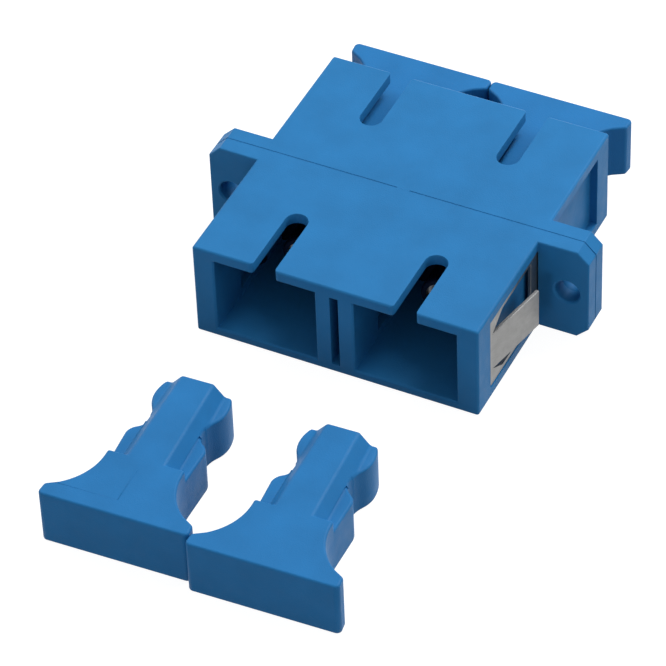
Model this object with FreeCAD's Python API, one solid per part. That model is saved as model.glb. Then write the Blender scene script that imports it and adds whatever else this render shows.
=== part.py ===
"""Duplex fibre adapter: two joined housing halves, latch inserts, sleeves, side clips and four dust caps.

Frame: the origin is the centre of the flange's front face, +X to the right of someone who looks into
the open ports, +Y from the open ports to the capped ones, +Z up. All lengths are in millimetres.
"""
import FreeCAD, Part
import math
import os

V = FreeCAD.Vector

# ---- Ports ----
port_pitch = 12.7          # between the axes of the two ports
port_width = 9.2
port_height = 7.4
port_lead_in = 0.15        # chamfer round each port's mouth

# ---- Housing half ----
half_length = 13.5         # parting plane to port face
side_wall = 1.95
top_wall = 1.05
bottom_wall = 0.85
edge_radius = 0.25
slot_width = 2.0           # key slot in the top wall
slot_length = 7.25
slot_mouth_radius = 0.45
slit_width = 0.75          # blind slit in the web between the ports
slit_depth = 9.0
groove_width = 0.07        # half of the groove along the parting line
groove_depth = 0.09
groove_bridge = 1.2        # unbroken stretch at the middle of the top

# ---- Flange ----
flange_half = 1.5          # thickness on one housing half
flange_reach = 4.55        # beyond the side of the body
flange_chamfer = 1.05
flange_edge = 0.15
screw_spacing = 31.0
screw_hole_radius = 1.1
screw_chamfer = 0.15

# ---- Locating pegs on the parting face ----
peg_radius = 0.4
peg_height = 0.6
peg_clearance = 0.05
peg_from_side = 0.8        # outward from the side of the body
peg_level = 2.9

# ---- Side recess and its spring clip ----
recess_depth = 0.7
recess_border = 2.45       # port face to the recess
recess_height = 7.2
clip_sheet = 0.3
clip_sink = 0.08           # below the side of the housing
clip_clearance = 0.05
clip_leg = 0.5             # tail leg clamped between the halves
clip_bend = 0.25           # outer radius of a fold
window_front = 0.55        # clip's front edge to its window
window_height = 6.3
window_length = 7.7
window_corner = 2.0        # length of the cut-off front corners
wing_height = 3.8
wing_length = 6.3
wing_spread = 1.35         # how far the wing's end stands out

# ---- Latch insert: plate, barrel and two hooks ----
holder_width = 9.9
holder_height = 7.8
holder_plate = 1.25
holder_corner = 0.2        # chamfer on the plate's upright corners
holder_clearance = 0.05
barrel_wall = 0.3
barrel_chamfer = 0.15
barrel_lip = 0.5           # ring that keeps the sleeve in
barrel_lip_radius = 1.45
hook_clearance = 0.1       # beside the bulb of a fitted dust cap
hook_nose = 0.5
hook_nose_length = 1.3
hook_nose_flat = 0.45      # before the nose slopes off to the tip
hook_arm = 0.6
hook_reach = 7.4           # parting plane to hook tip
hook_height = 3.4
hook_root = 0.5            # gusset where an arm leaves the plate
relief_depth = 0.7         # pocket in the port wall behind a hook
relief_height = 6.0
relief_from_face = 4.6

# ---- Split alignment sleeve ----
sleeve_bore = 2.5
sleeve_wall = 0.35
sleeve_length = 11.4
sleeve_slit = 0.5
sleeve_chamfer = 0.1
sleeve_clearance = 0.05
sleeve_float = 0.1         # end play at each end

# ---- Dust cap ----
cap_length = 16.4          # outer face of the handle to the tip
cap_height = 5.35
cap_bore_rise = 0.1        # bore's axis above the middle of the height
cap_overlap = 0.35         # how much wider a handle is than the pitch of the ports
cap_gap = 0.04             # between the handles of two fitted caps, which push each other outward
handle_end = 1.3           # thickness at the two ends
handle_root = 1.85         # thickness where the fan starts
handle_radius = 0.4        # outer upright edges
handle_edge = 0.15         # chamfer round the outer face
fan_half = 5.42            # half width of the fan at the handle
fan_end = 6.0
neck_half = 3.38
neck_end = 6.5
shoulder_half = 3.5
shoulder_at = 9.7
waist_half = 2.36
waist_at = 11.8
bulb_half = 3.25
bulb_at = 14.8
tip_half = 2.9
rib_rise = 1.12            # height of the rib above the side flanges
rib_root_half = 1.62
rib_tip_half = 1.4
rib_foot = 0.95            # width of the sloping side of the rib
cap_bore_clearance = 0.025
cap_bore_end = 0.3
cap_tip_gap = 0.7          # tip to the insert's plate
loose_cap_yaw = 2.4
loose_cap_gap = 0.1        # between the handles of the two loose caps
loose_cap_distance = 10.15 # port face to the tip of the left loose cap
loose_cap_step = 0.25      # how much farther away the right one lies

# ---- Sizes worked out from those above ----
body_width = port_pitch + port_width + 2 * side_wall
body_height = bottom_wall + port_height + top_wall
side_x = body_width / 2
top_z = body_height / 2
port_x = port_pitch / 2
port_z = top_z - top_wall - port_height / 2
parting_y = flange_half
face_y = parting_y - half_length
sleeve_radius = sleeve_bore / 2 + sleeve_wall
barrel_bore = sleeve_radius + sleeve_clearance
barrel_radius = barrel_bore + barrel_wall
barrel_length = sleeve_length / 2 + sleeve_float + barrel_lip
recess_floor = side_x - recess_depth
handle_width = port_pitch + cap_overlap
fitted_cap_x = (handle_width + cap_gap) / 2
cap_shift = fitted_cap_x - port_x      # a fitted cap's axis from its port's axis
hook_gap = 2 * (bulb_half + cap_shift + hook_clearance)
BEYOND = 1.0               # how far a cutting tool runs past the face it opens


def box(x, y, z):
    """Block between the low and high ends given for each axis."""
    block = Part.makeBox(x[1] - x[0], y[1] - y[0], z[1] - z[0])
    block.translate(V(x[0], y[0], z[0]))
    return block


def rod(x, z, radius, y_low, y_high):
    """Cylinder along Y."""
    return Part.makeCylinder(radius, y_high - y_low, V(x, y_low, z), V(0, 1, 0))


def plan_prism(points, z):
    """Polygon drawn in plan, extruded between two levels."""
    wire = Part.makePolygon([V(px, py, z[0]) for px, py in points + points[:1]])
    return Part.Face(wire).extrude(V(0, 0, z[1] - z[0]))


def mirrored(shape, x=0.0):
    """The shape mirrored left to right in the plane at x."""
    return shape.mirror(V(x, 0, 0), V(1, 0, 0))


def turned(shape):
    """The shape turned half round the upright axis through the middle of the parting plane."""
    copy = shape.copy()
    copy.rotate(V(0, parting_y, 0), V(0, 0, 1), 180)
    return copy


def edges_where(shape, test):
    """Edges whose bounding box passes the test."""
    return [edge for edge in shape.Edges if test(edge.BoundBox)]


def octagon_plate(half_width, half_height, chamfer, y):
    """Rectangular plate with its four corners cut off, across Y."""
    w, h, c = half_width, half_height, chamfer
    corners = [(c - w, -h), (w - c, -h), (w, c - h), (w, h - c), (w - c, h), (c - w, h), (-w, h - c), (-w, c - h)]
    wire = Part.makePolygon([V(px, y[0], pz) for px, pz in corners + corners[:1]])
    return Part.Face(wire).extrude(V(0, y[1] - y[0], 0))


# ---- Housing half ----

def body_block():
    """Outer block of one half, rounded along its length and round its port face."""
    block = box((-side_x, side_x), (face_y, parting_y), (-top_z, top_z))
    tiny = 1e-6
    along = edges_where(block, lambda b: b.YLength > half_length - tiny)
    front = edges_where(block, lambda b: b.YMax < face_y + tiny)
    return block.makeFillet(edge_radius, along + front)


def flange_plate():
    """Half of the flange, with its front outline rounded."""
    plate = octagon_plate(side_x + flange_reach, top_z, flange_chamfer, (0, parting_y))
    front = edges_where(plate, lambda b: b.YMax < 1e-6)
    return plate.makeFillet(flange_edge, front)


def port_cutter(x):
    """The straight port with a chamfered mouth."""
    half_w, half_h = port_width / 2, port_height / 2
    bore = box((x - half_w, x + half_w), (face_y - BEYOND, parting_y), (port_z - half_h, port_z + half_h))
    wires = []
    for grow, y in ((port_lead_in + BEYOND, face_y - BEYOND), (0, face_y + port_lead_in)):
        corners = [(-1, -1), (1, -1), (1, 1), (-1, 1), (-1, -1)]
        points = [V(x + sx * (half_w + grow), y, port_z + sz * (half_h + grow)) for sx, sz in corners]
        wires.append(Part.makePolygon(points))
    return bore.fuse(Part.makeLoft(wires, True))


def key_slot_cutter(x):
    """Slot in the top wall: rounded lips at the port face and a round inner end."""
    half, lip, y_end = slot_width / 2, slot_mouth_radius, face_y + slot_length
    diagonal = lip * math.sqrt(0.5)
    z = port_z

    def lip_arc(side):
        outer = V(x + side * (half + lip), face_y, z)
        middle = V(x + side * (half + lip - diagonal), face_y + lip - diagonal, z)
        inner = V(x + side * half, face_y + lip, z)
        return outer, middle, inner

    left_out, left_mid, left_in = lip_arc(-1)
    right_out, right_mid, right_in = lip_arc(1)
    left_end, right_end = V(x - half, y_end - half, z), V(x + half, y_end - half, z)
    outline = Part.Wire([
        Part.Arc(left_out, left_mid, left_in).toShape(),
        Part.makeLine(left_in, left_end),
        Part.Arc(left_end, V(x, y_end, z), right_end).toShape(),
        Part.makeLine(right_end, right_in),
        Part.Arc(right_in, right_mid, right_out).toShape(),
        Part.makeLine(right_out, left_out)])
    return Part.Face(outline).extrude(V(0, 0, top_z + BEYOND - z))


def hook_reliefs(x):
    """Pockets in both side walls of a port, where the hooks spring back."""
    reach = port_width / 2 + relief_depth
    half_h = relief_height / 2
    return box((x - reach, x + reach), (face_y + relief_from_face, parting_y), (port_z - half_h, port_z + half_h))


def holder_pocket(x):
    """Wider pocket at the parting plane that seats the plate of a latch insert."""
    half_w = holder_width / 2 + holder_clearance
    half_h = holder_height / 2 + holder_clearance
    return box((x - half_w, x + half_w), (parting_y - holder_plate, parting_y), (port_z - half_h, port_z + half_h))


def side_recess():
    """Right side recess, open on the side of the body and closed over by the flange."""
    y_start = face_y + recess_border
    level = (-recess_height / 2, recess_height / 2)
    opening = box((recess_floor, side_x + BEYOND), (y_start, 0), level)
    tunnel = box((recess_floor, side_x), (0, parting_y), level)
    groove_y = parting_y - clip_sheet / 2 - clip_clearance
    leg_x = recess_floor - clip_leg - clip_clearance
    leg_groove = box((leg_x, side_x), (groove_y, parting_y), level)
    return opening.fuse([tunnel, leg_groove])


def screw_hole(x):
    """Clearance hole through the flange with a small chamfer in front."""
    hole = rod(x, 0, screw_hole_radius, -BEYOND, parting_y)
    cone = Part.makeCone(screw_hole_radius + screw_chamfer, screw_hole_radius, screw_chamfer, V(x, 0, 0), V(0, 1, 0))
    return hole.fuse(cone)


def parting_groove():
    """Shallow step round the parting edge, unbroken at the middle of the top."""
    half_w, y = side_x + flange_reach, (parting_y - groove_width, parting_y)
    outer = octagon_plate(half_w + BEYOND, top_z + BEYOND, flange_chamfer, y)
    inner = octagon_plate(half_w - groove_depth, top_z - groove_depth, flange_chamfer, y)
    bridge = box((-groove_bridge / 2, groove_bridge / 2), y, (0, top_z + BEYOND))
    return outer.cut(inner).cut(bridge)


def housing_half():
    """The front half. The rear half is the same moulding, turned round."""
    half_slit = slit_width / 2
    half_port = port_height / 2
    tools = [parting_groove(), side_recess(), mirrored(side_recess())]
    tools.append(box((-half_slit, half_slit), (face_y - BEYOND, face_y + slit_depth),
                     (port_z - half_port, port_z + half_port)))
    for x in (-port_x, port_x):
        tools += [port_cutter(x), key_slot_cutter(x), hook_reliefs(x), holder_pocket(x)]
    for x in (-screw_spacing / 2, screw_spacing / 2):
        tools.append(screw_hole(x))
    peg_x = side_x + peg_from_side
    pegs = []
    for z in (-peg_level, peg_level):
        socket_depth = peg_height + peg_clearance
        tools.append(rod(peg_x, z, peg_radius + peg_clearance, parting_y - socket_depth, parting_y))
        pegs.append(rod(-peg_x, z, peg_radius, parting_y - BEYOND, parting_y + peg_height))
    block = body_block().fuse(flange_plate())
    return block.cut(tools).fuse(pegs).removeSplitter()


# ---- Inner pieces ----

def hook_arm_shape(x):
    """Right-hand latch arm of an insert, with its nose pointing at the port's axis."""
    inner = x + hook_gap / 2 + hook_nose
    outer = inner + hook_arm
    nose = inner - hook_nose
    root_y = parting_y - holder_plate
    tip_y = parting_y - hook_reach
    back_y = tip_y + hook_nose_length
    outline = [(outer, root_y), (inner - hook_root, root_y), (inner, root_y - hook_root), (inner, back_y),
               (nose, back_y), (nose, back_y - hook_nose_flat), (inner, tip_y), (outer, tip_y)]
    return plan_prism(outline, (port_z - hook_height / 2, port_z + hook_height / 2))


def latch_holder(x):
    """Front insert of one port: plate, barrel round the sleeve and two hooked arms."""
    half_w, half_h = holder_width / 2, holder_height / 2
    plate = box((x - half_w, x + half_w), (parting_y - holder_plate, parting_y), (port_z - half_h, port_z + half_h))
    uprights = edges_where(plate, lambda b: b.YLength > holder_plate - 1e-6)
    plate = plate.makeChamfer(holder_corner, uprights)
    barrel = rod(x, port_z, barrel_radius, parting_y - barrel_length, parting_y)
    rim = edges_where(barrel, lambda b: b.YMax < parting_y - barrel_length + 1e-6)
    barrel = barrel.makeChamfer(barrel_chamfer, rim)
    arm = hook_arm_shape(x)
    solid = plate.fuse([barrel, arm, mirrored(arm, x)])
    sleeve_room = rod(x, port_z, barrel_bore, parting_y - barrel_length + barrel_lip, parting_y)
    mouth = rod(x, port_z, barrel_lip_radius, parting_y - barrel_length - BEYOND, parting_y)
    return solid.cut([sleeve_room, mouth]).removeSplitter()


def alignment_sleeve(x):
    """Split sleeve: a chamfered tube with one slit along its top."""
    inner, outer, c = sleeve_bore / 2, sleeve_radius, sleeve_chamfer
    low, high = parting_y - sleeve_length / 2, parting_y + sleeve_length / 2
    section = [(inner, low + c), (inner + c, low), (outer - c, low), (outer, low + c),
               (outer, high - c), (outer - c, high), (inner + c, high), (inner, high - c)]
    wire = Part.makePolygon([V(x + r, y, port_z) for r, y in section + section[:1]])
    tube = Part.Face(wire).revolve(V(x, 0, port_z), V(0, 1, 0), 360)
    half = sleeve_slit / 2
    return tube.cut(box((x - half, x + half), (low, high), (port_z, port_z + outer + BEYOND)))


def side_clip():
    """Right-hand spring clip: one folded sheet with a foot, a window, a wing and a clamped tail."""
    outer_x = side_x - clip_sink
    inner_x = outer_x - clip_sheet
    front_y = face_y + recess_border + clip_clearance
    tail_y = parting_y + clip_sheet / 2
    leg_x = recess_floor - clip_leg
    half = recess_height / 2 - clip_clearance
    section = [(recess_floor, front_y), (outer_x, front_y), (outer_x, tail_y), (leg_x, tail_y),
               (leg_x, tail_y - clip_sheet), (inner_x, tail_y - clip_sheet), (inner_x, front_y + clip_sheet),
               (recess_floor, front_y + clip_sheet)]
    sheet = plan_prism(section, (-half, half))
    bends = edges_where(sheet, lambda b: b.ZLength > half and b.XMin > outer_x - 1e-6)
    sheet = sheet.makeFillet(clip_bend, bends)
    win_y = front_y + window_front
    win_end = win_y + window_length
    tall, short = window_height / 2, wing_height / 2
    outline = [(win_y, -short), (win_y + window_corner, -tall), (win_end, -tall), (win_end, tall),
               (win_y + window_corner, tall), (win_y, short)]
    wire = Part.makePolygon([V(recess_floor, y, z) for y, z in outline + outline[:1]])
    window = Part.Face(wire).extrude(V(side_x - recess_floor, 0, 0))
    return sheet.cut(window).fuse(clip_wing(inner_x, outer_x, win_y)).removeSplitter()


def clip_wing(inner_x, outer_x, root_y):
    """Wing that springs out of the clip's window towards the flange."""
    span = math.hypot(wing_spread, wing_length)
    shift_x, shift_y = clip_sheet * wing_length / span, clip_sheet * wing_spread / span
    tip_x, tip_y = outer_x + wing_spread, root_y + wing_length
    outline = [(inner_x, root_y - clip_sheet), (outer_x, root_y - clip_sheet), (outer_x, root_y),
               (tip_x, tip_y), (tip_x - shift_x, tip_y + shift_y), (inner_x, root_y + shift_y)]
    return plan_prism(outline, (-wing_height / 2, wing_height / 2))


# ---- Dust cap, drawn with its handle's outer face at y = 0 and its tip towards +Y ----

def cap_handle():
    """Wide plate held between two fingers, thinner towards its two ends."""
    half_w, half_h = handle_width / 2, cap_height / 2
    outline = [(-half_w, 0), (half_w, 0), (half_w, handle_end), (fan_half, handle_root),
               (-fan_half, handle_root), (-half_w, handle_end)]
    plate = plan_prism(outline, (-half_h, half_h))
    upright = edges_where(plate, lambda b: b.ZLength > cap_height - 1e-6 and b.YMax < 1e-6)
    plate = plate.makeFillet(handle_radius, upright)
    face = edges_where(plate, lambda b: b.YMax < 1e-6)
    return plate.makeChamfer(handle_edge, face)


def cap_fan():
    """Full-height web whose hollow arcs run from the handle into the neck."""
    rise = fan_end - handle_root
    spread = fan_half - neck_half
    radius = (spread ** 2 + rise ** 2) / (2 * spread)
    angle = math.asin(rise / radius)
    z = -cap_height / 2

    def on_arc(side, share):
        turn = angle * share
        return V(side * (neck_half + radius * (1 - math.cos(turn))), fan_end - radius * math.sin(turn), z)

    corners = [V(neck_half, neck_end, z), V(-neck_half, neck_end, z)]
    outline = Part.Wire([
        Part.Arc(on_arc(1, 1), on_arc(1, 0.5), on_arc(1, 0)).toShape(),
        Part.makeLine(on_arc(1, 0), corners[0]),
        Part.makeLine(corners[0], corners[1]),
        Part.makeLine(corners[1], on_arc(-1, 0)),
        Part.Arc(on_arc(-1, 0), on_arc(-1, 0.5), on_arc(-1, 1)).toShape(),
        Part.makeLine(on_arc(-1, 1), on_arc(1, 1))])
    return Part.Face(outline).extrude(V(0, 0, cap_height))


def bend(side, start, end, z, arcs):
    """Equal arcs from start to end, both (half width, place): the first leaves start along the plug."""
    (half, y), (end_half, end_y) = start, end
    turns = [(half, y, 1)]
    if arcs == 2:
        turns = [(half, y, 1), (end_half, end_y, -1)]
    step, rise = (end_half - half) / arcs, (end_y - y) / arcs
    radius = (rise ** 2 + step ** 2) / (2 * step)
    angle = math.asin(rise / radius)
    edges = []
    for from_half, from_y, way in turns:
        points = []
        for turn in (0, angle / 2, angle):
            x = from_half + way * radius * (1 - math.cos(turn))
            points.append(V(side * x, from_y + way * radius * math.sin(turn), z))
        edges.append(Part.Arc(*points).toShape())
    return edges


def wave(side, z):
    """Side of the plug: arcs from the shoulder over the waist to the bulb, and one that closes in to the tip."""
    shoulder, waist = (shoulder_half, shoulder_at), (waist_half, waist_at)
    bulb, tip = (bulb_half, bulb_at), (tip_half, cap_length)
    return bend(side, shoulder, waist, z, 2) + bend(side, waist, bulb, z, 2) + bend(side, bulb, tip, z, 1)


def cap_wave_block():
    """Wavy outline of the plug at the cap's full height."""
    z = -cap_height / 2
    start_y = neck_end - BEYOND
    points = [V(shoulder_half, shoulder_at, z), V(neck_half, neck_end, z), V(neck_half, start_y, z),
              V(-neck_half, start_y, z), V(-neck_half, neck_end, z), V(-shoulder_half, shoulder_at, z)]
    tip = Part.makeLine(V(tip_half, cap_length, z), V(-tip_half, cap_length, z))
    edges = wave(1, z) + [tip] + wave(-1, z) + Part.makePolygon(points).Edges
    outline = Part.Wire(Part.sortEdges(edges)[0])
    return Part.Face(outline).extrude(V(0, 0, cap_height))


def cap_profile():
    """Cross-section along the plug: flat flanges and a raised rib with sloping sides, narrower at the tip."""
    high, low = cap_height / 2, cap_height / 2 - rib_rise
    wide = shoulder_half + BEYOND
    wires = []
    for half, y in ((rib_root_half, neck_end - BEYOND), (rib_tip_half, cap_length)):
        points = [(-wide, -high), (wide, -high), (wide, low), (half + rib_foot, low),
                  (half, high), (-half, high), (-half - rib_foot, low), (-wide, low)]
        wires.append(Part.makePolygon([V(px, y, pz) for px, pz in points + points[:1]]))
    return Part.makeLoft(wires, True, True)


def dust_cap():
    """One dust cap: handle, fan, wavy plug with its rib, and the bore that slides over a barrel."""
    bore_radius = barrel_radius + cap_shift + cap_bore_clearance
    bore_depth = barrel_length - holder_plate - cap_tip_gap + cap_bore_end
    bore = rod(0, cap_bore_rise, bore_radius, cap_length - bore_depth, cap_length)
    plug = cap_wave_block().common(cap_profile())
    solid = cap_handle().fuse([cap_fan(), plug])
    return solid.cut(bore).removeSplitter()


def fitted_cap(side):
    """A cap pushed into a rear port, pressed outward by its twin, its tip just short of the insert."""
    cap = dust_cap()
    outer_y = parting_y + holder_plate + cap_tip_gap + cap_length
    cap.rotate(V(0, 0, 0), V(0, 0, 1), 180)
    cap.translate(V(side * fitted_cap_x, outer_y, port_z - cap_bore_rise))
    return cap


def lying_cap(side):
    """A cap that lies flat on the surface that the adapter stands on, beside its twin."""
    cap = dust_cap()
    cap.rotate(V(0, 0, 0), V(0, 0, 1), loose_cap_yaw)
    x = side * (handle_width + loose_cap_gap) / 2
    y = face_y - loose_cap_distance - cap_length
    if side > 0:
        y -= loose_cap_step
    cap.translate(V(x, y, cap_height / 2 - top_z))
    return cap


def all_pieces():
    """Every piece of the adapter by its node's name."""
    front = housing_half()
    pieces = {"front_housing": front, "rear_housing": turned(front)}
    for side, way in (("left", -1), ("right", 1)):
        x = way * port_x
        pieces["loose_cap_" + side] = lying_cap(way)
        pieces["front_holder_" + side] = latch_holder(x)
        pieces["rear_holder_" + side] = turned(latch_holder(-x))
        pieces["sleeve_" + side] = alignment_sleeve(x)
        pieces["rear_cap_" + side] = fitted_cap(way)
    pieces["clip_right"] = side_clip()
    pieces["clip_left"] = mirrored(side_clip())
    return pieces


os.makedirs("parts", exist_ok=True)
for node, shape in all_pieces().items():
    shape.exportStep("parts/" + node + ".step")
    print(node, "solids", len(shape.Solids), "valid", shape.isValid(), "volume", round(shape.Volume, 2))
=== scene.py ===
# %% [markdown]
# # A duplex fibre adapter and its four dust caps
# This lesson dresses a small blue plastic adapter that joins two pairs of fibre connectors through a
# panel. Its two housing halves, latch inserts, ceramic sleeves and spring clips are already drawn as a
# CAD frame. Here they get rounded moulded edges and real finishes, and the soft dust caps are modelled
# from scratch.

# %% Load the frame
import math

import bpy
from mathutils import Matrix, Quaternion, Vector


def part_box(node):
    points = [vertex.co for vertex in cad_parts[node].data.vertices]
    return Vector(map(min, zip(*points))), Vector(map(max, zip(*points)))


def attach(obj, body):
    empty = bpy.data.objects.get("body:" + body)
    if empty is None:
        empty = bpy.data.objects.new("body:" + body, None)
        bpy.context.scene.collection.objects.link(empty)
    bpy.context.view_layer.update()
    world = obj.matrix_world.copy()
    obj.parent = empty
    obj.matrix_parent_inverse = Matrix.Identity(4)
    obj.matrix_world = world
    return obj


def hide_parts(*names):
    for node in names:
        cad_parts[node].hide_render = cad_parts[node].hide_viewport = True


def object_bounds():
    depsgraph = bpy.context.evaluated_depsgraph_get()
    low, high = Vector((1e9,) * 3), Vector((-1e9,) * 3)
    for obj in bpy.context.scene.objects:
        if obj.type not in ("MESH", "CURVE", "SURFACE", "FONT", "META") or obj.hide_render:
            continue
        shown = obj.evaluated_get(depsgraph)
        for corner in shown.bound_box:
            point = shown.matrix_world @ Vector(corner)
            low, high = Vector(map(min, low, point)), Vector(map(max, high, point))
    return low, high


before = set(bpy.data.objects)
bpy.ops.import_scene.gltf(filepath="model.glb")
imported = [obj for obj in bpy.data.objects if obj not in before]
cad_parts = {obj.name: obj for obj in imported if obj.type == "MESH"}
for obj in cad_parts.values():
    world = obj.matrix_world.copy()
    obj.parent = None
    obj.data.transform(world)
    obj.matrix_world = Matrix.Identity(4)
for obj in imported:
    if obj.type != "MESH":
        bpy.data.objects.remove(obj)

MM = 0.001                           # the scene is in metres, the lesson's sizes in millimetres
cad_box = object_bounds()

# %% [markdown]
# ## Where the viewer stands
# The adapter is seen from its front right, well above the bench, through a long lens that keeps its
# edges nearly parallel. A camera could be aimed with a Track To constraint. A bearing, a height and a
# small roll about the line of sight give the same aim in three plain numbers.

# %% Camera
BEARING = math.radians(27.318)       # to the right of straight ahead
HEIGHT_ANGLE = math.radians(43.069)
ROLL = math.radians(-2.4007)
TARGET = Vector((-2.31, -7.80, -4.65)) * MM
DISTANCE = 350.46 * MM
LENS, SENSOR_WIDTH = 227.02, 36      # millimetres


def add_camera():
    """Camera on a sphere round the target."""
    flat = math.cos(HEIGHT_ANGLE)
    back = Vector((math.sin(BEARING) * flat, -math.cos(BEARING) * flat, math.sin(HEIGHT_ANGLE)))
    data = bpy.data.cameras.new("camera")
    data.lens = LENS
    data.sensor_width = SENSOR_WIDTH
    data.clip_start, data.clip_end = 0.01, 10
    camera = bpy.data.objects.new("camera", data)
    bpy.context.scene.collection.objects.link(camera)
    camera.location = TARGET + back * DISTANCE
    camera.rotation_mode = "QUATERNION"
    camera.rotation_quaternion = (-back).to_track_quat("-Z", "Y") @ Quaternion((0, 0, 1), ROLL)
    bpy.context.scene.camera = camera
    return camera


bpy.context.scene.view_settings.view_transform = "Standard"
print("camera at", [round(value, 3) for value in add_camera().location])

# %% [markdown]
# ## Light for satin plastic
# Small satin parts are shown on white with a large soft lamp overhead, so that top faces are clear and
# faces that look at the viewer stay deep. A ring light would flatten the steps and slots. The large
# lamp stands above and behind, a fill on either side keeps the three directions apart, and a low one
# in front reaches into the ports.

# %% Lamps
LAMPS = (                            # name, place and side in metres, power in watts
    ("back lamp", (0.12, 0.30, 0.40), 0.25, 2.1),
    ("left lamp", (-0.40, 0.14, 0.32), 0.30, 0.8),
    ("right lamp", (0.5, 0.05, 0.2), 0.35, 0.45),
    ("front lamp", (0.0, -0.6, 0.055), 0.12, 0.35),
)


def add_lamp(name, place, size, power):
    """Square area lamp that looks at the middle of the adapter."""
    data = bpy.data.lights.new(name, "AREA")
    data.size = size
    data.energy = power
    lamp = bpy.data.objects.new(name, data)
    bpy.context.scene.collection.objects.link(lamp)
    lamp.location = place
    lamp.rotation_mode = "QUATERNION"
    lamp.rotation_quaternion = (-Vector(place)).to_track_quat("-Z", "Y")
    return lamp


for settings in LAMPS:
    print("added", add_lamp(*settings).name)

# %% [markdown]
# ## White all round
# White card stands round a small product, and it has to look white without lighting the part from
# everywhere, or its hollows would lose their depth. An HDR picture of a studio could do it, but brings
# its own tint. A Light Path node gives one world two strengths: full for the eye, for reflections and
# through glass, and low as a light.

# %% World
WORLD_DIM, WORLD_WHITE = 0.42, 1.0   # as a light, and to the eye


def seen_strength(nodes, links, dim, white):
    """Strength that is white to the eye, in reflections and through glass, and dim as a light."""
    path = nodes.new("ShaderNodeLightPath")
    seen = path.outputs["Is Camera Ray"]
    for ray in ("Is Glossy Ray", "Is Transmission Ray"):
        either = nodes.new("ShaderNodeMath")
        either.operation = "MAXIMUM"
        links.new(seen, either.inputs[0])
        links.new(path.outputs[ray], either.inputs[1])
        seen = either.outputs[0]
    strength = nodes.new("ShaderNodeMapRange")
    strength.inputs["To Min"].default_value = dim
    strength.inputs["To Max"].default_value = white
    links.new(seen, strength.inputs["Value"])
    return strength.outputs[0]


def add_world():
    """Plain white world."""
    world = bpy.data.worlds.new("studio")
    bpy.context.scene.world = world
    world.use_nodes = True
    nodes, links = world.node_tree.nodes, world.node_tree.links
    background = nodes["Background"]
    background.inputs["Color"].default_value = (1, 1, 1, 1)
    links.new(seen_strength(nodes, links, WORLD_DIM, WORLD_WHITE), background.inputs["Strength"])
    return world


print("world", add_world().name)

# %% [markdown]
# ## A bench without an edge
# A white sweep of card hides where the bench ends. A curved backdrop does it on a real table. Here a
# wide plane is enough, because the camera looks down. Its own glow makes it white to the eye, while its
# grey paint sends only a little light back up at the faces that look forward.

# %% Floor
FLOOR_SIDE = 3                       # metres
FLOOR_GREY = 0.22
FLOOR_GLOW = 0.93


def floor_finish():
    """Pale paint that glows to the eye and still takes a faint shadow."""
    material = bpy.data.materials.new("pale_floor")
    material.use_nodes = True
    nodes, links = material.node_tree.nodes, material.node_tree.links
    shader = nodes["Principled BSDF"]
    shader.inputs["Base Color"].default_value = (FLOOR_GREY, FLOOR_GREY, FLOOR_GREY, 1)
    shader.inputs["Roughness"].default_value = 0.9
    shader.inputs["Specular IOR Level"].default_value = 0.1
    glow = nodes.new("ShaderNodeEmission")
    glow.inputs["Color"].default_value = (1, 1, 1, 1)
    links.new(seen_strength(nodes, links, 0, FLOOR_GLOW), glow.inputs["Strength"])
    both = nodes.new("ShaderNodeAddShader")
    links.new(shader.outputs[0], both.inputs[0])
    links.new(glow.outputs[0], both.inputs[1])
    links.new(both.outputs[0], nodes["Material Output"].inputs["Surface"])
    return material


bpy.ops.object.select_all(action="DESELECT")
bpy.ops.mesh.primitive_plane_add(size=FLOOR_SIDE, location=(0, 0, cad_box[0][2]))
floor = bpy.context.object
floor.name = "floor"
bpy.ops.object.transform_apply(location=True, rotation=True, scale=True)
floor.data.materials.append(floor_finish())
print("floor at", round(cad_box[0][2] / MM, 2), "mm")

# %% [markdown]
# ## Nodes that every finish uses
# No real surface is even: its colour, its gloss and its relief wander a little from place to place.
# Painted maps could show that, but they need an unwrapped mesh and stretch where it is poor. Noise on
# Object coordinates has its true size on every face, so each finish is wired from the few nodes below.

# %% Noise, colours, numbers and relief
NOISE_LOW, NOISE_HIGH = 0.3, 0.7     # nearly all of a noise lies between these


def new_material(name):
    """Empty Principled material with its node lists and Object coordinates."""
    material = bpy.data.materials.new(name)
    material.use_nodes = True
    nodes, links = material.node_tree.nodes, material.node_tree.links
    place = nodes.new("ShaderNodeTexCoord").outputs["Object"]
    return material, nodes, links, nodes["Principled BSDF"], place


def noise(nodes, links, place, scale, detail):
    """Noise whose grain is about one metre over scale wide."""
    texture = nodes.new("ShaderNodeTexNoise")
    texture.inputs["Scale"].default_value = scale
    texture.inputs["Detail"].default_value = detail
    links.new(place, texture.inputs["Vector"])
    return texture.outputs["Fac"]


def blend_colours(nodes, links, factor, low, high):
    """Colour that goes from low to high with a noise's middle range."""
    ramp = nodes.new("ShaderNodeValToRGB")
    first, last = ramp.color_ramp.elements
    first.position, last.position = NOISE_LOW, NOISE_HIGH
    first.color, last.color = (*low, 1), (*high, 1)
    links.new(factor, ramp.inputs["Fac"])
    return ramp.outputs["Color"]


def ranged(nodes, links, factor, low, high):
    """Number that goes from low to high with a noise's middle range."""
    spread = nodes.new("ShaderNodeMapRange")
    spread.inputs["From Min"].default_value = NOISE_LOW
    spread.inputs["From Max"].default_value = NOISE_HIGH
    spread.inputs["To Min"].default_value = low
    spread.inputs["To Max"].default_value = high
    links.new(factor, spread.inputs["Value"])
    return spread.outputs[0]


def bump(nodes, links, height, strength, distance):
    """Surface relief from a height."""
    relief = nodes.new("ShaderNodeBump")
    relief.inputs["Strength"].default_value = strength
    relief.inputs["Distance"].default_value = distance
    links.new(height, relief.inputs["Height"])
    return relief.outputs["Normal"]


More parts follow.
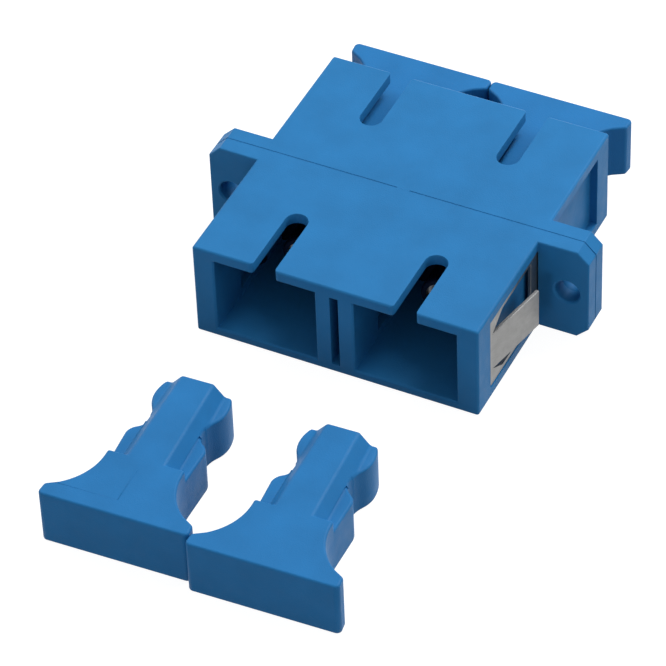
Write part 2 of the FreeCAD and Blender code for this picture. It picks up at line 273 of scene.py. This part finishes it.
print("noise is read from", NOISE_LOW, "to", NOISE_HIGH)

# %% [markdown]
# ## Satin moulded plastic
# The housings and caps are moulded in a tool whose walls were lightly sparked, so the plastic has a
# very fine grain, a soft sheen and cloudy, barely visible colour changes from its pigment. One rough
# flat colour would look like paper. Three noises of very different size, one each for pigment, sheen
# and grain, give the plastic its depth. The latch inserts are a smoother moulding, and their near-black
# colour is painted shade that stands in for the dark deep inside the ports.

# %% Plastic finish
CLOUD_SCALE, SHEEN_SCALE, SPARK_SCALE = 260, 900, 9000    # waves to a metre
SPARK_HEIGHT = 0.02 * MM
PLASTIC_IOR, PLASTIC_SPECULAR = 1.5, 0.1


def moulded_plastic(name, colour, depth, roughness, grain):
    """Satin plastic: cloudy pigment, uneven sheen and a fine sparked grain."""
    material, nodes, links, shader, place = new_material(name)
    darker = tuple(value * (1 - depth) for value in colour)
    lighter = tuple(value * (1 + depth) for value in colour)
    cloud = noise(nodes, links, place, CLOUD_SCALE, 3)
    links.new(blend_colours(nodes, links, cloud, darker, lighter), shader.inputs["Base Color"])
    sheen = noise(nodes, links, place, SHEEN_SCALE, 2)
    uneven = ranged(nodes, links, sheen, roughness - 0.04, roughness + 0.05)
    links.new(uneven, shader.inputs["Roughness"])
    spark = noise(nodes, links, place, SPARK_SCALE, 2)
    links.new(bump(nodes, links, spark, grain, SPARK_HEIGHT), shader.inputs["Normal"])
    shader.inputs["IOR"].default_value = PLASTIC_IOR
    shader.inputs["Specular IOR Level"].default_value = PLASTIC_SPECULAR
    return material


housing_blue = moulded_plastic("housing_blue", (0.019, 0.166, 0.402), 0.07, 0.46, 0.9)
cap_blue = moulded_plastic("cap_blue", (0.018, 0.163, 0.410), 0.07, 0.44, 0.9)
# painted shade: the inserts' near-black colour stands in for the shade deep inside the ports
insert_blue = moulded_plastic("insert_blue", (0.002, 0.006, 0.02), 0.05, 0.40, 0.25)
print("plastics", housing_blue.name, cap_blue.name, insert_blue.name)

# %% [markdown]
# ## Ceramic and spring steel
# The sleeves are ground zirconia, almost white and glossy. The clips are punched from rolled strip:
# dull grey with fine lines along the rolling direction, and a few handling marks. Lines that long and
# thin could be an anisotropic shader; stretched noise in roughness and relief survives in other tools.

# %% Ceramic and steel finishes
GRIND_SCALE, GRIND_STRETCH = 700, (1, 14, 1)      # squeezed along the tube
ROLL_SCALE, ROLL_STRETCH = 14000, (1, 0.06, 1)    # drawn out along the strip
SCUFF_SCALE = 1100
MARK_HEIGHT = 0.01 * MM


def stretched(nodes, links, place, factors):
    """Coordinates that squeeze a pattern by these factors."""
    mapping = nodes.new("ShaderNodeMapping")
    mapping.inputs["Scale"].default_value = factors
    links.new(place, mapping.inputs["Vector"])
    return mapping.outputs[0]


def ground_ceramic(name):
    """White zirconia with faint grinding marks round the tube."""
    material, nodes, links, shader, place = new_material(name)
    marks = noise(nodes, links, stretched(nodes, links, place, GRIND_STRETCH), GRIND_SCALE, 3)
    colour = blend_colours(nodes, links, marks, (0.78, 0.78, 0.75), (0.86, 0.86, 0.84))
    links.new(colour, shader.inputs["Base Color"])
    links.new(ranged(nodes, links, marks, 0.12, 0.2), shader.inputs["Roughness"])
    links.new(bump(nodes, links, marks, 0.15, MARK_HEIGHT), shader.inputs["Normal"])
    return material


def rolled_steel(name):
    """Spring strip: rolling lines along its length and scattered small scuffs."""
    material, nodes, links, shader, place = new_material(name)
    lines = noise(nodes, links, stretched(nodes, links, place, ROLL_STRETCH), ROLL_SCALE, 3)
    scuffs = noise(nodes, links, place, SCUFF_SCALE, 4)
    colour = blend_colours(nodes, links, scuffs, (0.215, 0.215, 0.212), (0.255, 0.255, 0.252))
    links.new(colour, shader.inputs["Base Color"])
    shader.inputs["Metallic"].default_value = 1.0
    links.new(ranged(nodes, links, lines, 0.32, 0.46), shader.inputs["Roughness"])
    links.new(bump(nodes, links, lines, 0.3, MARK_HEIGHT), shader.inputs["Normal"])
    return material


ceramic = ground_ceramic("ceramic")
clip_steel = rolled_steel("clip_steel")
print("hard finishes", ceramic.name, clip_steel.name)

# %% [markdown]
# ## Selecting by place
# Edit mode works on what is selected. By hand one clicks on a face; in a script the face is found by
# where it is or which way it looks. These helpers open a piece for editing with nothing selected, pick
# the parts of it that pass a test, and close it again.

# %% Opening, picking and closing
KINDS = {"vertices": "VERT", "edges": "EDGE", "polygons": "FACE"}


def only(piece):
    """Select this piece and nothing else, and make it active."""
    if bpy.context.mode != "OBJECT":
        bpy.ops.object.mode_set(mode="OBJECT")
    bpy.ops.object.select_all(action="DESELECT")
    piece.select_set(True)
    bpy.context.view_layer.objects.active = piece


def edit(piece):
    """Open a piece in edit mode with nothing selected."""
    only(piece)
    bpy.ops.object.mode_set(mode="EDIT")
    bpy.ops.mesh.select_mode(type="VERT")
    bpy.ops.mesh.select_all(action="DESELECT")


def pick(kind, test):
    """In edit mode, select the vertices, edges or polygons that pass the test, and count them."""
    mesh = bpy.context.object.data
    bpy.ops.object.mode_set(mode="OBJECT")
    for parts in (mesh.vertices, mesh.edges, mesh.polygons):
        parts.foreach_set("select", [False] * len(parts))
    count = 0
    for part in getattr(mesh, kind):
        part.select = bool(test(part))
        count += part.select
    bpy.ops.object.mode_set(mode="EDIT")
    bpy.ops.mesh.select_mode(type=KINDS[kind])
    return count


def close():
    """Leave edit mode and hand back the piece."""
    bpy.ops.object.mode_set(mode="OBJECT")
    return bpy.context.object


print("can pick", sorted(KINDS))

# %% [markdown]
# ## Modifiers that stay
# A modifier can be left live on a piece, so that it can still be changed, or be applied, so that its
# work becomes mesh. Other tools read only the mesh, so here each one is applied at once. A rounded edge
# also needs smooth shading, while the wide faces beside it have to stay flat, and weighted normals give
# every corner to its largest face.

# %% Applying and smoothing
CRISP = math.radians(40)             # an edge that turns by more is crisp


def apply_modifier(piece, name, kind, **settings):
    """Add a modifier with these settings and apply it."""
    modifier = piece.modifiers.new(name, kind)
    for key, value in settings.items():
        setattr(modifier, key, value)
    only(piece)
    bpy.ops.object.modifier_apply(modifier=name)


def smooth(piece):
    """Shade rounded edges smooth, with large faces kept flat."""
    only(piece)
    bpy.ops.object.shade_smooth_by_angle(angle=CRISP)
    apply_modifier(piece, "flat faces", "WEIGHTED_NORMAL", keep_sharp=True)


print("crisp above", round(math.degrees(CRISP)), "degrees")

# %% [markdown]
# ## The hairline between the halves
# The two housing halves are moulded apart and welded together, and a hairline shows where they meet. In
# the CAD it is a groove hardly wider than a rounded edge. A full bevel would break it up, and a dark
# line painted on would lie flat in every light. So the groove stays real: its floor is raised a little,
# and its edges are given a fifth of the bevel's width.

# %% Raise and mark the parting groove
PARTING_Y = 1.5 * MM                 # where the two halves meet
PARTING_REACH = 0.1 * MM             # the groove on either side of it
PARTING_SHARE = 0.2                  # of the full bevel width
GROOVE_FLOOR = Vector((17.36, 0, 4.56)) * MM     # half width and half height of the groove's floor
GROOVE_NEAR = 0.01 * MM
GROOVE_RISE = 0.05 * MM


def raise_groove():
    """In edit mode, lift the floor of the parting groove, so that it reads as a hairline."""
    def on_floor(v):
        at_side = abs(abs(v.co.x) - GROOVE_FLOOR.x) < GROOVE_NEAR
        at_top = abs(abs(v.co.z) - GROOVE_FLOOR.z) < GROOVE_NEAR
        return abs(v.co.y - PARTING_Y) < PARTING_REACH and (at_side or at_top)
    if pick("vertices", on_floor):
        grow = (1 + GROOVE_RISE / GROOVE_FLOOR.x, 1, 1 + GROOVE_RISE / GROOVE_FLOOR.z)
        bpy.ops.transform.resize(value=grow, center_override=(0, 0, 0))


def by_parting(piece):
    """In edit mode, of the selected edges keep only those in the parting groove, and count them."""
    mesh = piece.data
    piece.update_from_editmode()
    sharp = {edge.index for edge in mesh.edges if edge.select}

    def in_groove(edge):
        ends = [mesh.vertices[index].co.y for index in edge.vertices]
        return edge.index in sharp and all(abs(y - PARTING_Y) < PARTING_REACH for y in ends)
    return pick("edges", in_groove)


print("groove raised by", round(GROOVE_RISE / MM, 2), "mm")

# %% [markdown]
# ## Moulded edges on the housings
# No moulded edge is knife-sharp: the tool's corners leave a hair of radius that draws a bright line
# along every edge. The CAD nodes are loose triangles, so the line is missing. Each half is copied,
# its triangles are merged into whole faces, and every crisp edge gets a narrow bevel. Modelling the
# half again would only repeat the CAD; a bevel shader would leave the edge itself untouched.

# %% Soften a copy of a CAD node
TOUCH = 1e-6                         # metres; points nearer than this are one point
NODE_FLAT = math.radians(0.8)        # faces that turn by less are one face
HOUSING_EDGE = 0.05 * MM


def softened(node, width, material):
    """Copy of a CAD node, merged into one skin, with its crisp edges rounded."""
    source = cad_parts[node]
    piece = bpy.data.objects.new(node + "_skin", source.data.copy())
    bpy.context.scene.collection.objects.link(piece)
    piece.data.materials.clear()
    piece.data.materials.append(material)
    edit(piece)
    bpy.ops.mesh.select_all(action="SELECT")
    bpy.ops.mesh.remove_doubles(threshold=TOUCH)
    bpy.ops.mesh.dissolve_limited(angle_limit=NODE_FLAT)
    bpy.ops.mesh.normals_make_consistent(inside=False)
    raise_groove()
    bpy.ops.mesh.select_mode(type="EDGE")
    bpy.ops.mesh.select_all(action="DESELECT")
    bpy.ops.mesh.edges_select_sharp(sharpness=CRISP)
    bpy.ops.transform.edge_bevelweight(value=1)
    if by_parting(piece):
        bpy.ops.transform.edge_bevelweight(value=PARTING_SHARE - 1)
    close()
    apply_modifier(piece, "moulded edge", "BEVEL", width=width, segments=2, limit_method="WEIGHT",
                   use_clamp_overlap=False)
    smooth(piece)
    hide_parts(node)
    print(piece.name, "faces", len(piece.data.polygons))
    return piece


for end in ("front", "rear"):
    half = softened(end + "_housing", HOUSING_EDGE, housing_blue)
    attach(half, "adapter")

# %% [markdown]
# ## Latch inserts, clips and sleeves
# The inserts sit deep in the ports and hold a connector with their hooked arms. The clips are folded
# sheet with punched edges. Both get the same treatment as the housings with a finer edge. The sleeves
# are hidden inside the barrels, so the CAD tubes stay and only receive their ceramic.

# %% Inner pieces
INSERT_EDGE = 0.04 * MM
CLIP_EDGE = 0.03 * MM

for side in ("left", "right"):
    for end in ("front", "rear"):
        insert = softened(end + "_holder_" + side, INSERT_EDGE, insert_blue)
        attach(insert, "adapter")
    clip = softened("clip_" + side, CLIP_EDGE, clip_steel)
    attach(clip, "adapter")
    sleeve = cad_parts["sleeve_" + side]
    sleeve.data.materials.clear()
    sleeve.data.materials.append(ceramic)
    print("sleeve", side, "finished in", ceramic.name)

# %% [markdown]
# ## Drawing an outline
# The dust cap is a flat shape with soft waves, so it starts as an outline drawn on the bench. A plane
# merged to one point is the pen. Extruding the point draws a straight line, and spinning it draws an
# arc. A curve object could hold the outline too, but then its corners and arcs would need handles.

# %% A pen
ARC_STEP = 5                         # degrees of an arc to one edge


def pen(x, y, z):
    """A mesh of one selected point, and its place in millimetres."""
    bpy.ops.object.select_all(action="DESELECT")
    bpy.ops.mesh.primitive_plane_add(size=MM, location=(0, 0, 0))
    edit(bpy.context.object)
    bpy.ops.mesh.select_all(action="SELECT")
    bpy.ops.mesh.merge(type="CENTER")
    bpy.ops.transform.translate(value=(x * MM, y * MM, z * MM))
    return [x, y, z]


def line_to(at, x, y):
    """Straight line from the pen's place to x, y."""
    step = ((x - at[0]) * MM, (y - at[1]) * MM, 0)
    bpy.ops.mesh.extrude_region_move(TRANSFORM_OT_translate={"value": step})
    at[0], at[1] = x, y


def arc_to(at, centre, x, y, clockwise):
    """Arc round a centre from the pen's place to x, y."""
    start = math.atan2(at[1] - centre[1], at[0] - centre[0])
    end = math.atan2(y - centre[1], x - centre[0])
    turn = (start - end) if clockwise else (end - start)
    turn %= 2 * math.pi
    steps = max(2, math.ceil(math.degrees(turn) / ARC_STEP))
    signed = turn if clockwise else -turn
    middle = (centre[0] * MM, centre[1] * MM, at[2] * MM)
    bpy.ops.mesh.spin(steps=steps, angle=signed, center=middle, axis=(0, 0, 1))
    at[0], at[1] = x, y


def round_corner(at, corner, onward, radius):
    """Line towards a corner, then an arc that leaves it towards the point onward."""
    corner = Vector(corner)
    into = (corner - Vector(at[:2])).normalized()
    out = (Vector(onward) - corner).normalized()
    clockwise = into.cross(out) < 0
    reach = radius * math.tan(into.angle(out) / 2)
    side = radius if clockwise else -radius
    start, end = corner - into * reach, corner + out * reach
    line_to(at, *start)
    arc_to(at, (start.x + into.y * side, start.y - into.x * side), *end, clockwise)


print("arcs have an edge every", ARC_STEP, "degrees")

# %% [markdown]
# ## The same mesh every time
# A mould gives the same cap every time, and so should a script. Extrude and spin leave the edges and
# faces of a piece in an order that changes from run to run, and a Boolean or a bevel then settles close
# calls another way. Sort Elements would order them by hand, but not the corner that each face starts
# with. So the finished points and faces are written into a fresh mesh in a fixed order. Each face
# starts half-way round from its first point, where the cap's long slopes split without a crease.

# %% Put a mesh in order
def in_order(piece):
    """Write a piece's mesh anew, with its points, faces and their first corners in a fixed order."""
    old = piece.data
    places = [tuple(point.co) for point in old.vertices]
    order = sorted(range(len(places)), key=lambda i: [round(value / TOUCH) for value in places[i]])
    rank = {index: number for number, index in enumerate(order)}
    faces = []
    for face in old.polygons:
        corners = [rank[index] for index in face.vertices]
        first = (corners.index(min(corners)) + len(corners) // 2) % len(corners)
        faces.append(corners[first:] + corners[:first])
    mesh = bpy.data.meshes.new(piece.name)
    mesh.from_pydata([places[index] for index in order], [], sorted(faces))
    for material in old.materials:
        mesh.materials.append(material)
    piece.data = mesh
    bpy.data.meshes.remove(old)
    return piece


print("points are sorted to", TOUCH, "metres")

# %% [markdown]
# ## From an outline to a block
# The cap is the same on its left and right, so only one half is drawn, from the middle line and back to
# it. The half is filled and raised, and its face on the middle line is taken away, because a mirror
# would bury it inside. Drawing both halves would be twice the work and never quite even.

# %% Raise a half outline
CAP_FLAT = math.radians(0.5)         # faces that turn by less are one face


def raise_outline(name, height):
    """Close the drawn half outline, raise it, mirror it and hand back a closed block."""
    bpy.ops.mesh.select_all(action="SELECT")
    bpy.ops.mesh.edge_face_add()
    bpy.ops.mesh.extrude_region_move(TRANSFORM_OT_translate={"value": (0, 0, height * MM)})
    pick("polygons", lambda face: abs(face.center.x) < TOUCH)
    bpy.ops.mesh.delete(type="FACE")
    block = close()
    block.name = name
    apply_modifier(block, "other side", "MIRROR", merge_threshold=TOUCH)
    edit(block)
    bpy.ops.mesh.select_all(action="SELECT")
    bpy.ops.mesh.remove_doubles(threshold=TOUCH)
    bpy.ops.mesh.normals_make_consistent(inside=False)
    bpy.ops.mesh.dissolve_limited(angle_limit=CAP_FLAT)
    in_order(close())
    print(block.name, "points", len(block.data.vertices))
    return block


print("flat below", round(math.degrees(CAP_FLAT), 1), "degrees")

# %% [markdown]
# ## The dust cap: handle and fan
# A finger pulls the cap out by a wide plate, and hollow arcs lead from it into the neck, which keeps
# the soft plastic from tearing there. Handle, fan and neck have one height, so one outline draws all
# three. Separate blocks would leave a seam where the fan meets the handle.

# %% Handle and fan
CAP_LENGTH, CAP_HEIGHT = 16.4, 5.35
HANDLE_HALF = 6.525
HANDLE_END = 1.3                     # thickness at the ends
HANDLE_ROOT = 1.85                   # thickness where the fan starts
OUTER_CORNER, INNER_CORNER = 0.45, 0.35
FAN_HALF, FAN_END = 5.42, 6.0
NECK_HALF, NECK_END = 3.38, 6.5


def handle_and_fan():
    """Block of the handle, the fan and the start of the neck."""
    at = pen(0, 0, 0)
    round_corner(at, (HANDLE_HALF, 0), (HANDLE_HALF, HANDLE_END), OUTER_CORNER)
    round_corner(at, (HANDLE_HALF, HANDLE_END), (FAN_HALF, HANDLE_ROOT), INNER_CORNER)
    line_to(at, FAN_HALF, HANDLE_ROOT)
    spread, rise = FAN_HALF - NECK_HALF, FAN_END - HANDLE_ROOT
    radius = (spread ** 2 + rise ** 2) / (2 * spread)
    arc_to(at, (NECK_HALF + radius, FAN_END), NECK_HALF, FAN_END, True)
    line_to(at, NECK_HALF, NECK_END)
    line_to(at, 0, NECK_END)
    return raise_outline("cap_handle", CAP_HEIGHT)


cap = handle_and_fan()

# %% [markdown]
# ## The wavy plug
# The plug that enters the port swells at the shoulder, draws in at the waist where the latch hooks
# snap, and swells again at the bulb. Each change is two equal arcs that meet without a corner. A spline
# would wander between its points; two arcs say exactly what the mould maker cut.

# %% Plug with its waves
SHOULDER = (3.5, 9.7)                # half width and place along the cap
WAIST = (2.36, 11.8)
BULB = (3.25, 14.8)
TIP = (2.9, CAP_LENGTH)
OVERLAP = 1.0                        # how far one block reaches into the next


def bend_to(at, end, arcs):
    """One or two equal arcs that leave the pen's place along the cap."""
    step, rise = (end[0] - at[0]) / arcs, (end[1] - at[1]) / arcs
    radius = (rise ** 2 + step ** 2) / (2 * step)
    arc_to(at, (at[0] + radius, at[1]), at[0] + step, at[1] + rise, radius > 0)
    if arcs == 2:
        arc_to(at, (end[0] - radius, end[1]), end[0], end[1], radius < 0)


def wavy_plug():
    """Block with the plug's wavy outline and the cap's full height."""
    at = pen(0, NECK_END - OVERLAP, 0)
    line_to(at, NECK_HALF, NECK_END - OVERLAP)
    line_to(at, NECK_HALF, NECK_END)
    line_to(at, *SHOULDER)
    bend_to(at, WAIST, 2)
    bend_to(at, BULB, 2)
    bend_to(at, TIP, 1)
    line_to(at, 0, CAP_LENGTH)
    return raise_outline("cap_plug", CAP_HEIGHT)


plug = wavy_plug()

# %% [markdown]
# ## The rib
# A raised rib with sloping sides stiffens the plug and rides in the key slot, and flat flanges lie on
# both sides of it. A cross-section block has that shape all along: a box whose two sides are extruded
# into flanges and whose top is extruded and narrowed into slopes, drawn in a little at the tip. What
# the wavy block and the cross-section block share is the plug, so the waist cuts into the slopes.

# %% Cross-section of the plug
RIB_ROOT_HALF, RIB_TIP_HALF, RIB_FOOT = 1.62, 1.4, 0.95
RIB_RISE = 1.12
FLANGE_REACH = 2.0                   # past the widest wave
FACING = 0.9                         # share of a normal that makes its face look one way
NEAR = 0.1


def section_block():
    """Flanges, slopes and rib in one block along the plug."""
    foot_half = RIB_ROOT_HALF + RIB_FOOT
    low = CAP_HEIGHT - RIB_RISE
    start, end = NECK_END - OVERLAP, CAP_LENGTH
    bpy.ops.object.select_all(action="DESELECT")
    bpy.ops.mesh.primitive_cube_add(size=MM, location=(0, (start + end) / 2 * MM, low / 2 * MM),
                                    scale=(2 * foot_half, end - start, low))
    block = bpy.context.object
    block.name = "cap_section"
    bpy.ops.object.transform_apply(location=True, rotation=True, scale=True)
    edit(block)
    for way in (-1, 1):
        pick("polygons", lambda face: face.normal.x * way > FACING)
        reach = (way * FLANGE_REACH * MM, 0, 0)
        bpy.ops.mesh.extrude_region_move(TRANSFORM_OT_translate={"value": reach})
    pick("polygons", lambda face: face.normal.z > FACING and abs(face.center.x) < NEAR * MM)
    bpy.ops.mesh.extrude_region_move(TRANSFORM_OT_translate={"value": (0, 0, RIB_RISE * MM)})
    bpy.ops.transform.resize(value=(RIB_ROOT_HALF / foot_half, 1, 1), center_override=(0, 0, 0))
    taper = (RIB_ROOT_HALF - RIB_TIP_HALF) * MM
    for way in (-1, 1):
        pick("vertices", lambda v: v.co.y > (end - NEAR) * MM
             and 0 < v.co.x * way < (foot_half + NEAR) * MM)
        bpy.ops.transform.translate(value=(-way * taper, 0, 0))
    in_order(close())
    print(block.name, "points", len(block.data.vertices))
    return block


section = section_block()

# %% [markdown]
# ## Joining the cap and boring it
# A barrel sticks out of the insert behind the port, and the cap slides over it with a round bore. The
# three blocks could be sewn together by hand, edge by edge, but a Boolean finds where they meet: an
# intersection makes the plug, a union joins it to the handle, and a cylinder bores the tip.

# %% One block from three
BORE_RADIUS, BORE_DEPTH = 2.17, 4.65
BORE_RISE = 0.1                      # above the middle of the cap's height
BORE_SIDES = 72


def combine(piece, other, operation):
    """Exact Boolean of two closed blocks; the second one is used up."""
    apply_modifier(piece, operation.lower(), "BOOLEAN", operation=operation, object=other,
                   solver="EXACT")
    bpy.data.objects.remove(other)


def bore_cutter():
    """Cylinder on the bore's axis that reaches past the cap's tip."""
    middle = (0, (CAP_LENGTH - BORE_DEPTH / 2) * MM, (CAP_HEIGHT / 2 + BORE_RISE) * MM)
    bpy.ops.object.select_all(action="DESELECT")
    bpy.ops.mesh.primitive_cylinder_add(vertices=BORE_SIDES, radius=BORE_RADIUS * MM,
                                        depth=BORE_DEPTH * MM, location=middle,
                                        rotation=(math.pi / 2, 0, 0))
    cutter = bpy.context.object
    bpy.ops.object.transform_apply(location=True, rotation=True, scale=True)
    edit(cutter)
    pick("polygons", lambda face: face.normal.y > FACING)
    bpy.ops.transform.translate(value=(0, OVERLAP * MM, 0))
    return in_order(close())


combine(plug, section, "INTERSECT")
combine(cap, in_order(plug), "UNION")
combine(in_order(cap), bore_cutter(), "DIFFERENCE")
in_order(cap)
print("cap blocks joined, points", len(cap.data.vertices))

# %% [markdown]
# ## Soft edges on the cap
# The caps are a softer, cheaper moulding than the housings, and their edges are visibly rounder. One
# bevel after the Booleans rounds them all alike. Rounding each block before it is joined would leave
# the seams sharp, and the slivers that the Booleans leave have to go first, or the bevel trips on them.

# %% Round the cap
SOFT_EDGE = 0.22 * MM
SOFT_TURN = math.radians(22)         # an edge that turns by less stays as it is
CAP_TOUCH = 2e-6                     # metres
SLIVER = 0.03 * MM


def round_cap(piece):
    """Merge what the Booleans left, round the crisp edges and shade the skin smooth."""
    edit(piece)
    bpy.ops.mesh.select_all(action="SELECT")
    bpy.ops.mesh.remove_doubles(threshold=CAP_TOUCH)
    bpy.ops.mesh.dissolve_limited(angle_limit=CAP_FLAT)
    bpy.ops.mesh.select_all(action="SELECT")
    bpy.ops.mesh.dissolve_degenerate(threshold=SLIVER)
    bpy.ops.mesh.select_all(action="SELECT")
    bpy.ops.mesh.dissolve_limited(angle_limit=CAP_FLAT)
    bpy.ops.mesh.normals_make_consistent(inside=False)
    in_order(close())
    apply_modifier(piece, "soft edge", "BEVEL", width=SOFT_EDGE, segments=3, limit_method="ANGLE",
                   angle_limit=SOFT_TURN, use_clamp_overlap=False)
    smooth(in_order(piece))


round_cap(cap)
cap.data.materials.append(cap_blue)
print("cap faces", len(cap.data.polygons), "size", [round(value / MM, 2) for value in cap.dimensions])

# %% [markdown]
# ## Witness lines
# One loose cap comes from a worn cavity of the mould, whose inserts leave two fine witness lines on the
# handle. A bump map could draw them, but it would be lost with the material. They are low ridges in the
# mesh: four-sided rods lie half sunk in the handle's top and are joined to it.

# %% Ridges on a handle
RIDGES = (                           # x, y, length, width, and turn in degrees
    (-0.2, 3.4, 3.6, 0.1, 0),
    (-2.9, 1.55, 5.4, 0.05, 90),
)


def witness_lines(piece):
    """Two hair-thin ridges where a worn mould insert meets the mould, on top of the handle."""
    for x, y, length, width, turn in RIDGES:
        bpy.ops.object.select_all(action="DESELECT")
        bpy.ops.mesh.primitive_cylinder_add(vertices=4, radius=width / 2 * MM, depth=length * MM,
                                            rotation=(math.pi / 2, 0, math.radians(turn)),
                                            location=(x * MM, y * MM, CAP_HEIGHT * MM))
        bpy.ops.object.transform_apply(location=True, rotation=True, scale=True)
        combine(piece, bpy.context.object, "UNION")
    smooth(piece)


print("ridges to add", len(RIDGES))

# %% [markdown]
# ## Four caps from one
# One mould makes all caps, so the finished cap is copied. The fitted ones are turned half round and
# push each other slightly outward. The loose ones lie on the bench with a small turn. Each copy is
# moved until it has the same middle from above and the same underside as the CAD cap that it stands
# for, and then its place is put into its mesh, so that the grain doesn't slide.

# %% Place the caps
FITTED_TURN, LOOSE_TURN = 180, 2.4   # degrees, counter-clockwise from above


def middle_of(corners):
    """Middle of a box given by its two corners."""
    return (Vector(corners[0]) + Vector(corners[1])) / 2


def mesh_box(piece):
    """Lowest and highest corner of a piece's mesh."""
    points = [vertex.co for vertex in piece.data.vertices]
    return [[end(point[axis] for point in points) for axis in range(3)] for end in (min, max)]


def placed_cap(node, turn, worn=False):
    """A copy of the cap, turned about the upright axis and moved onto its CAD node."""
    copy = bpy.data.objects.new(node + "_skin", cap.data.copy())
    bpy.context.scene.collection.objects.link(copy)
    if worn:
        witness_lines(copy)
    copy.rotation_euler = (0, 0, math.radians(turn))
    only(copy)
    bpy.ops.object.transform_apply(location=True, rotation=True, scale=True)
    shift = middle_of(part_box(node)) - middle_of(mesh_box(copy))
    shift.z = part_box(node)[0][2] - mesh_box(copy)[0][2]
    copy.location = shift
    bpy.ops.object.transform_apply(location=True, rotation=True, scale=True)
    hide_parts(node)
    return copy


for side in ("left", "right"):
    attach(placed_cap("rear_cap_" + side, FITTED_TURN), "rear_" + side)
    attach(placed_cap("loose_cap_" + side, LOOSE_TURN, worn=side == "left"), "adapter")
    print("caps on the", side)
bpy.data.objects.remove(cap)
